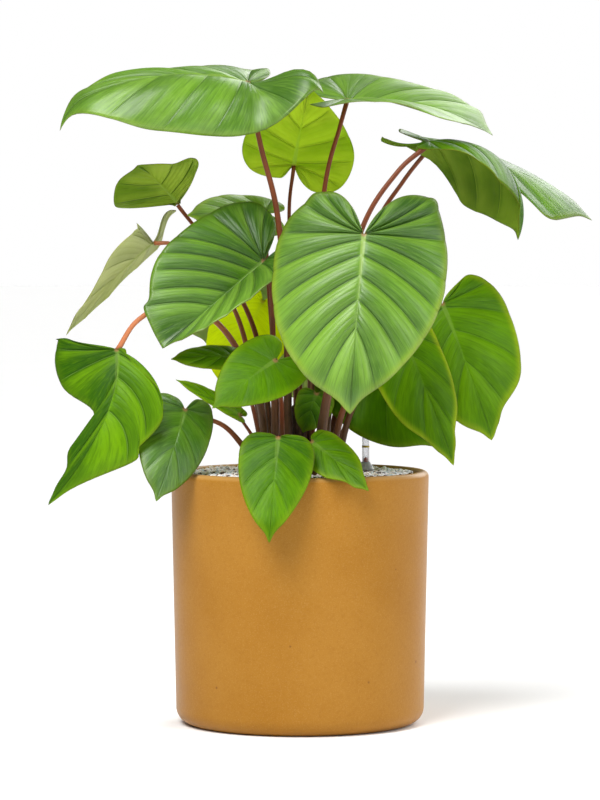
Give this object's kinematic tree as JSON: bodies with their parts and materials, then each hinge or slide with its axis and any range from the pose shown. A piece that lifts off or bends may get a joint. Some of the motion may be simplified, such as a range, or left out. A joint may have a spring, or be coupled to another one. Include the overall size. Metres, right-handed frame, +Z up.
{
  "type": "potted homalomena plant",
  "caption": "House plant with heart-shaped leaves on long dark leaf stalks, standing in a round honey-brown glazed pot filled with mineral granules, with a water-level gauge.",
  "frame": {"origin": "middle of the pot's flat foot, on the surface that it stands on", "axes": "+Z up through the pot's axis, -Y towards the front, +X to the right seen from the front"},
  "size_m": [0.59, 0.4143, 0.7154],
  "materials": {
    "glaze": "glossy honey-brown glaze with fine mottling",
    "granules": "rough mixed mineral granules, white, beige, blue-grey and dark brown",
    "crown": "dark ringed stem, rough",
    "petiole": "smooth maroon to dark brown leaf stalk",
    "leaf_green": "satin mid-green leaf with lighter veins",
    "leaf_young": "satin yellow-green young leaf",
    "leaf_pale": "satin leaf that shows its pale olive underside",
    "gauge_grey": "matt light-grey plastic",
    "gauge_clear": "clear glossy plastic with two plain yellow rings",
    "gauge_red": "red glossy plastic"
  },
  "bodies": {
    "root": {"pot": "glaze", "substrate": "granules", "crown": "crown", "gauge_guide": "gauge_grey", "gauge_tube": "gauge_clear", "gauge_float": "gauge_red", "gauge_cap": "gauge_grey", "petiole_top_left": "petiole", "blade_top_left": "leaf_green", "petiole_top_right": "petiole", "blade_top_right": "leaf_green", "petiole_far_right_high": "petiole", "blade_far_right_high": "leaf_green", "petiole_folded_right": "petiole", "blade_folded_right": "leaf_green", "petiole_young_back": "petiole", "blade_young_back": "leaf_young", "petiole_upper_left": "petiole", "blade_upper_left": "leaf_green", "petiole_far_left": "petiole", "blade_far_left": "leaf_pale", "petiole_front_left": "petiole", "blade_front_left": "leaf_green", "petiole_front_centre": "petiole", "blade_front_centre": "leaf_green", "petiole_back_left_high": "petiole", "blade_back_left_high": "leaf_green", "petiole_low_left": "petiole", "blade_low_left": "leaf_green", "petiole_rim_left": "petiole", "blade_rim_left": "leaf_green", "petiole_front_small": "petiole", "blade_front_small": "leaf_green", "petiole_front_hanging": "petiole", "blade_front_hanging": "leaf_green", "petiole_front_hanging_right": "petiole", "blade_front_hanging_right": "leaf_green", "petiole_right_shaded": "petiole", "blade_right_shaded": "leaf_green", "petiole_right_front": "petiole", "blade_right_front": "leaf_green", "petiole_right": "petiole", "blade_right": "leaf_green", "petiole_left_inner": "petiole", "blade_left_inner": "leaf_green", "petiole_left_narrow": "petiole", "blade_left_narrow": "leaf_green", "petiole_inner_small": "petiole", "blade_inner_small": "leaf_green", "petiole_yellow": "petiole", "blade_yellow": "leaf_young", "petiole_back_right": "petiole", "blade_back_right": "leaf_green", "petiole_back_left": "petiole", "blade_back_left": "leaf_green", "petiole_back_centre": "petiole", "blade_back_centre": "leaf_green", "petiole_back_low_right": "petiole", "blade_back_low_right": "leaf_green"}
  },
  "joints": []
}
